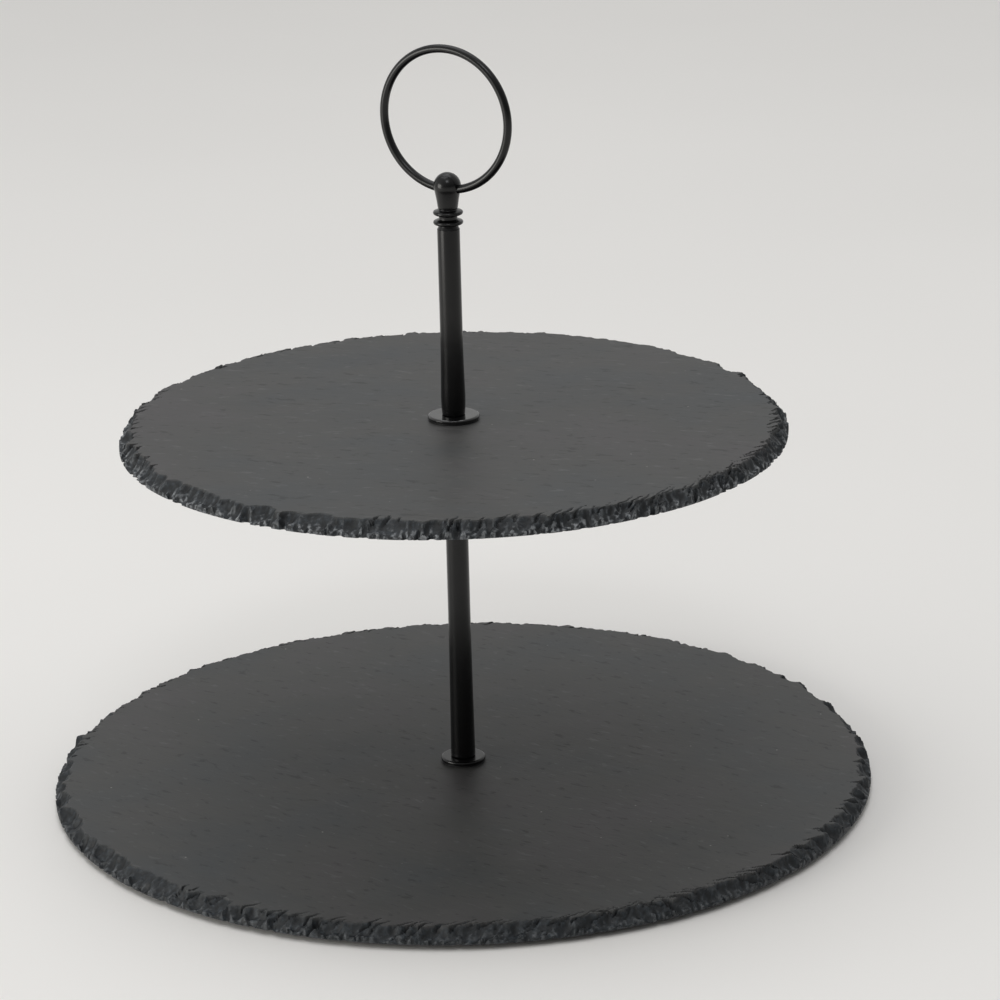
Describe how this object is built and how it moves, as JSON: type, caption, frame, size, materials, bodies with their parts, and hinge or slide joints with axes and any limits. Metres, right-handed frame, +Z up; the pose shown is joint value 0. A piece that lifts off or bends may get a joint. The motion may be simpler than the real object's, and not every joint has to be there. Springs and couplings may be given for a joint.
{
  "type": "tiered cake stand",
  "caption": "Two-tier cake stand: round slate trays with knapped rims on a black metal centre post with an upright ring handle.",
  "frame": {"origin": "on the table, on the axis of the centre post, in the plane of the four foot pads' undersides", "axes": "+Z up along the post; the ring handle stands in the XZ plane, so +Y looks straight through it"},
  "size_m": [0.2996, 0.2993, 0.274],
  "materials": {
    "slate": "matte",
    "satin_black_metal": "satin",
    "gloss_black_metal": "gloss",
    "zinc_plated_steel": "satin",
    "cushion_pvc": "satin",
    "foot_rubber": "matte"
  },
  "bodies": {
    "base": {"lower_slate": "slate", "foot_pad_1": "foot_rubber", "foot_pad_2": "foot_rubber", "foot_pad_3": "foot_rubber", "foot_pad_4": "foot_rubber", "base_screw": "zinc_plated_steel", "base_washer": "zinc_plated_steel", "base_cushion": "cushion_pvc", "lower_cushion": "cushion_pvc"},
    "lower_collar": {"lower_flange": "satin_black_metal"},
    "lower_column": {"lower_post": "satin_black_metal", "support_flange": "gloss_black_metal", "support_cushion": "cushion_pvc"},
    "upper_tray": {"upper_slate": "slate"},
    "upper_collar": {"upper_flange": "gloss_black_metal", "upper_cushion": "cushion_pvc"},
    "handle": {"upper_post": "satin_black_metal", "tie_stud": "zinc_plated_steel", "finial": "satin_black_metal", "ring_handle": "satin_black_metal"}
  },
  "joints": [
    {"name": "lower_collar_lift", "type": "slide", "parent": "base", "child": "lower_collar", "axis": [0, 0, 1], "range_m": [0, 0.0074]},
    {"name": "lower_column_unscrew", "type": "hinge", "parent": "lower_collar", "child": "lower_column", "pos_m": [0, 0, 0.0093], "axis": [0, 0, 1], "range_deg": [0, 3331]},
    {"name": "upper_tray_turn", "type": "hinge", "parent": "lower_column", "child": "upper_tray", "pos_m": [0, 0, 0.1332], "axis": [0, 0, 1], "continuous": true},
    {"name": "upper_collar_lift", "type": "slide", "parent": "lower_column", "child": "upper_collar", "axis": [0, 0, 1], "range_m": [0, 0.0074]},
    {"name": "handle_unscrew", "type": "hinge", "parent": "upper_collar", "child": "handle", "pos_m": [0, 0, 0.1405], "axis": [0, 0, 1], "range_deg": [0, 3331]}
  ],
  "couplings": [
    {"joint": "lower_column_unscrew", "follows": "lower_collar_lift", "rad_per_m": 7854},
    {"joint": "handle_unscrew", "follows": "upper_collar_lift", "rad_per_m": 7854}
  ]
}
